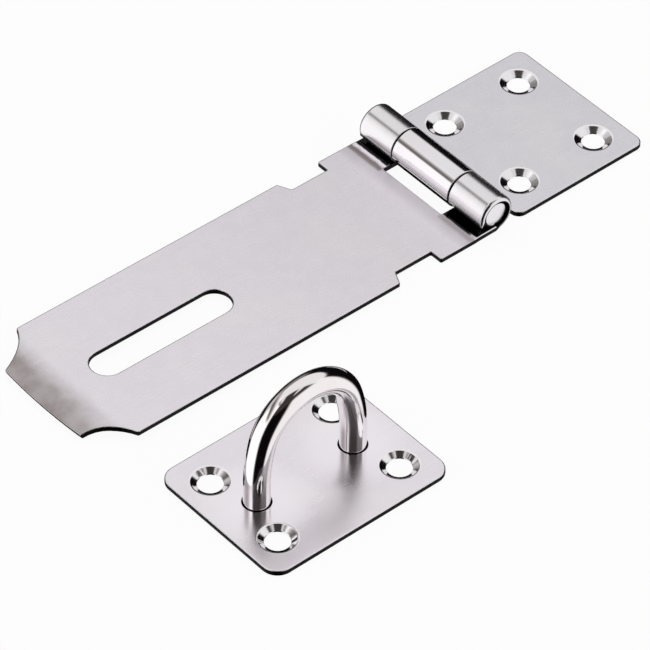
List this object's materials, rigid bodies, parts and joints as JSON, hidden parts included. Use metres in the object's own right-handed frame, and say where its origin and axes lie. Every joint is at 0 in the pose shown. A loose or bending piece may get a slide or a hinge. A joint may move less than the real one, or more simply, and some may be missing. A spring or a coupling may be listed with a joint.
{
  "type": "hasp and staple",
  "caption": "Flat pressed-steel hasp with a slotted swinging arm, a screw-on hinge leaf and a separate staple: a round-bar loop riveted to a screw-on plate.",
  "frame": {"origin": "centre of the leaf's four screw holes, on the face that the leaf is fixed by", "axes": "+X from the arm's lip along the hasp to the leaf's outer end, +Y along the hinge pin, +Z away from the surface that the leaf and the staple are fixed to"},
  "size_m": [0.1498, 0.0881, 0.0278],
  "materials": {
    "leaf_sheet": "fine satin on the flats, polished on the knuckle",
    "arm_sheet": "fine satin on the flats, polished on the knuckles",
    "pin": "polished domed ends",
    "staple_sheet": "fine satin",
    "loop_bar": "polished"
  },
  "bodies": {
    "leaf": {"hinge_leaf": "leaf_sheet"},
    "arm": {"hasp_arm": "arm_sheet", "hinge_pin": "pin"},
    "staple": {"staple_plate": "staple_sheet", "staple_loop": "loop_bar"}
  },
  "joints": [
    {"name": "arm_hinge", "type": "hinge", "parent": "leaf", "child": "arm", "pos_m": [-0.02425, 0, 0.0045], "axis": [0, 1, 0], "range_deg": [0, 179.3]},
    {"name": "staple_lift", "type": "slide", "parent": "leaf", "child": "staple", "axis": [0, 0, 1], "range_m": [0, 0.06]}
  ]
}
